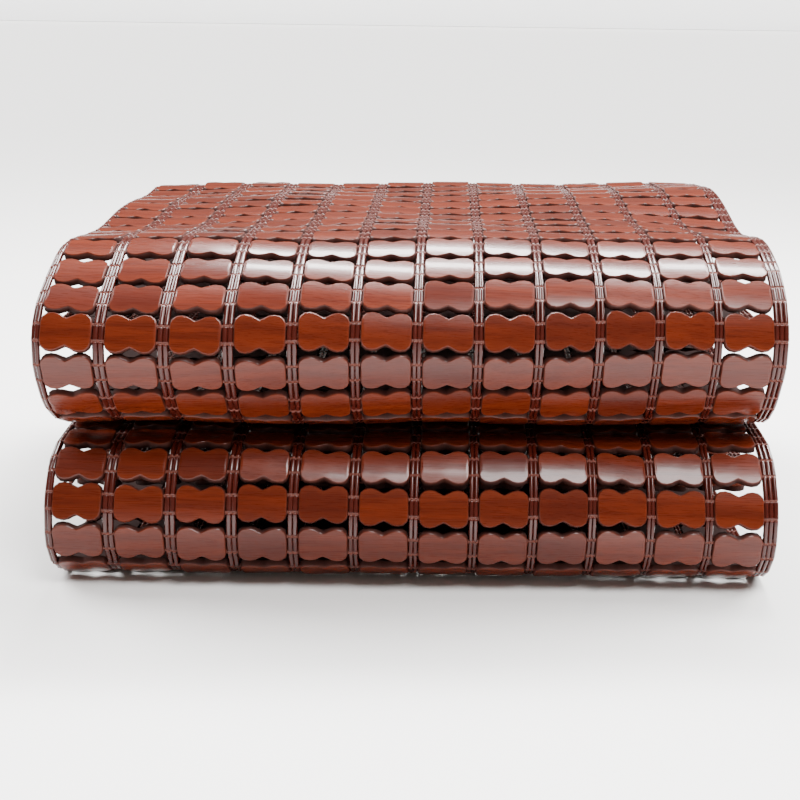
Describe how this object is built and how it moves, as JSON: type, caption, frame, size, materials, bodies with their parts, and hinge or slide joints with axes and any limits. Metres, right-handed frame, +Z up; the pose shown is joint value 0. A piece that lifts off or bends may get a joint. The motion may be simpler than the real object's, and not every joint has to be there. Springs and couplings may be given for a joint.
{
  "type": "bamboo tile mat",
  "caption": "Long runner of lobed lacquered bamboo tiles strung on cords, in columns with linked strips between, folded back and forth into stacked bundles",
  "frame": {"origin": "centre of the folded mat's footprint, on the surface it lies on", "axes": "+Z up, +X along the rows of tiles from the left edge strip to the right one, -Y towards the two loose front folds"},
  "size_m": [0.5224, 0.4554, 0.2445],
  "materials": {
    "bamboo": "glossy red-brown lacquer over fine straight bamboo grain, worn slightly at the tile rims",
    "links": "smooth dark red-brown moulded plastic, slightly translucent"
  },
  "bodies": {
    "root": {"tile_column_01": "bamboo", "tile_column_02": "bamboo", "tile_column_03": "bamboo", "tile_column_04": "bamboo", "tile_column_05": "bamboo", "tile_column_06": "bamboo", "tile_column_07": "bamboo", "tile_column_08": "bamboo", "tile_column_09": "bamboo", "tile_column_10": "bamboo", "tile_column_11": "bamboo", "tile_column_12": "bamboo", "link_strip_01": "links", "link_strip_02": "links", "link_strip_03": "links", "link_strip_04": "links", "link_strip_05": "links", "link_strip_06": "links", "link_strip_07": "links", "link_strip_08": "links", "link_strip_09": "links", "link_strip_10": "links", "link_strip_11": "links", "selvedge_left": "links", "selvedge_right": "links"}
  },
  "joints": []
}
